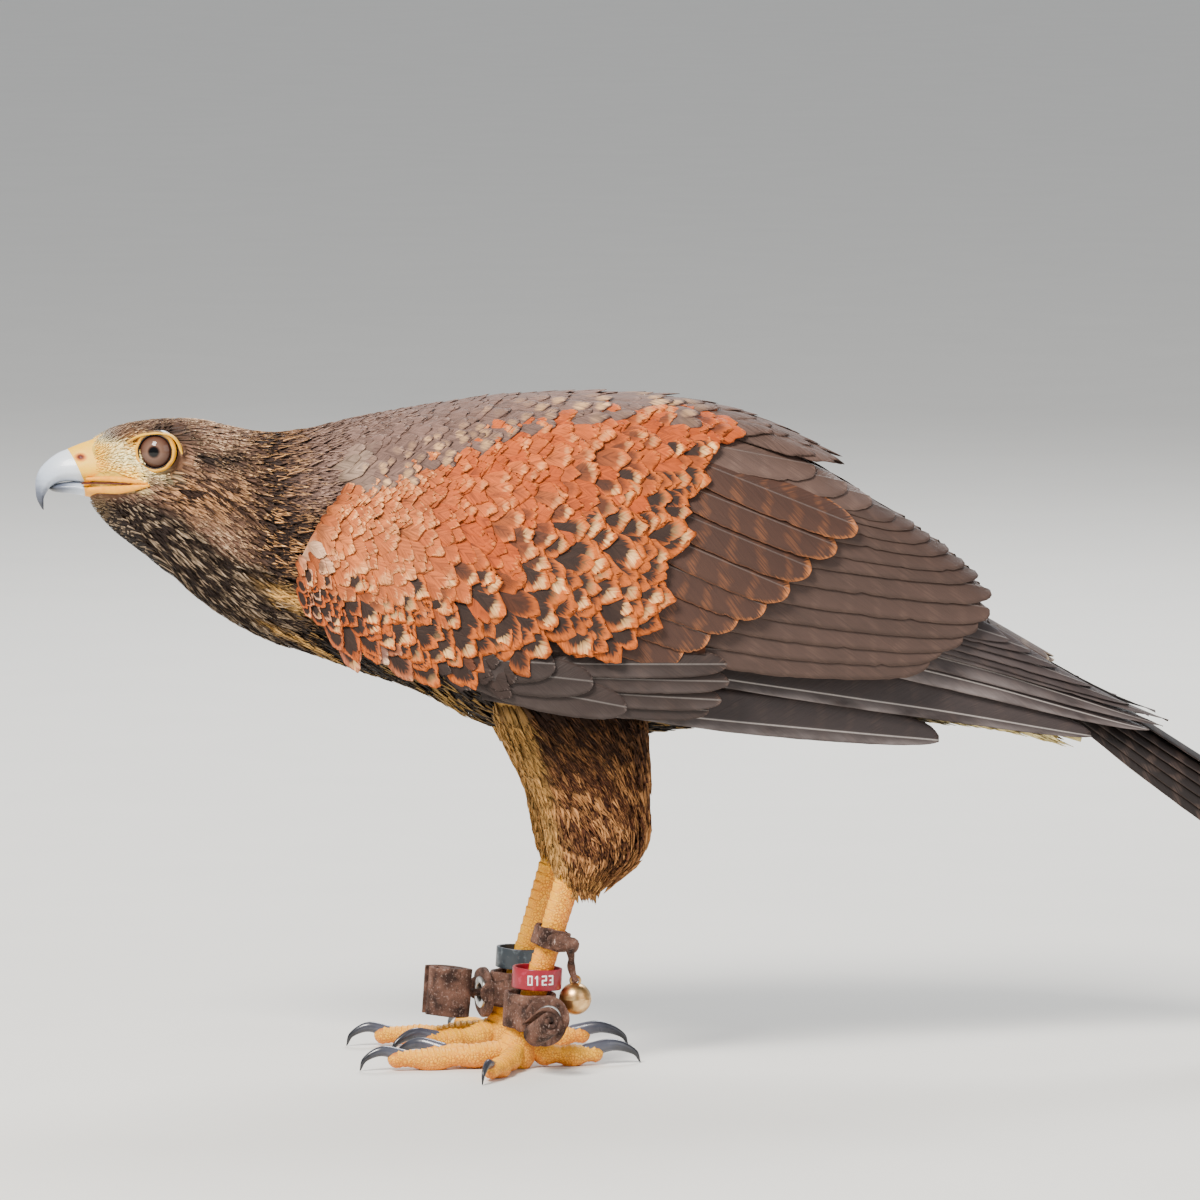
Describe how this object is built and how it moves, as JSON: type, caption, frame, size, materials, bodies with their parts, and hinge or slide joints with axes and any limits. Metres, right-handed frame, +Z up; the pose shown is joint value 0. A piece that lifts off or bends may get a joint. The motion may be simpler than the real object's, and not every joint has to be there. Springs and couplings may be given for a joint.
{
  "type": "hawk",
  "caption": "Life-size standing raptor in a low forward crouch with folded wings, wearing leather anklets, a small bell and leg rings, to stand on a level surface.",
  "frame": {"origin": "on the standing surface under the middle of the whole bird's length and width", "axes": "-X towards the bill and +X towards the tail, -Y towards the bird's left side, +Z up"},
  "size_m": [0.547, 0.1526, 0.2693],
  "materials": {
    "plumage_brown": "soft body feathers",
    "plumage_chestnut": "soft covert feathers",
    "plumage_buff": "loose barred thigh feathers",
    "flight_feathers": "firm satin vanes",
    "bare_skin": "waxy yellow skin",
    "bill_horn": "smooth horn, dark at the tip",
    "eye": "wet gloss",
    "leg_scales": "yellow scaled skin",
    "claw_horn": "black horn",
    "leather": "worn brown leather",
    "ring_red": "gloss with plain white figures",
    "ring_dark": "satin",
    "bell_brass": "polished, worn",
    "eyelet_metal": "satin"
  },
  "bodies": {
    "root": {"head": "plumage_brown", "neck": "plumage_brown", "torso": "plumage_brown", "cere": "bare_skin", "bill_upper": "bill_horn", "bill_lower": "bill_horn", "eye_left": "eye", "eye_right": "eye", "eyelids_left": "bare_skin", "eyelids_right": "bare_skin", "wing_arm_left": "plumage_chestnut", "wing_arm_right": "plumage_chestnut", "wing_hand_left": "flight_feathers", "wing_hand_right": "flight_feathers", "tail": "flight_feathers", "thigh_left": "plumage_buff", "thigh_right": "plumage_buff", "tarsus_left": "leg_scales", "tarsus_right": "leg_scales", "toe_middle_left": "leg_scales", "toe_middle_right": "leg_scales", "toe_outer_left": "leg_scales", "toe_outer_right": "leg_scales", "toe_inner_left": "leg_scales", "toe_inner_right": "leg_scales", "toe_hind_left": "leg_scales", "toe_hind_right": "leg_scales", "claw_middle_left": "claw_horn", "claw_middle_right": "claw_horn", "claw_outer_left": "claw_horn", "claw_outer_right": "claw_horn", "claw_inner_left": "claw_horn", "claw_inner_right": "claw_horn", "claw_hind_left": "claw_horn", "claw_hind_right": "claw_horn", "leg_ring_left": "ring_red", "leg_ring_right": "ring_dark", "bewit": "leather", "bell": "bell_brass", "anklet_left": "leather", "anklet_right": "leather", "eyelet_left": "eyelet_metal", "eyelet_right": "eyelet_metal", "jess_button_left": "leather", "jess_button_right": "leather"}
  },
  "joints": []
}
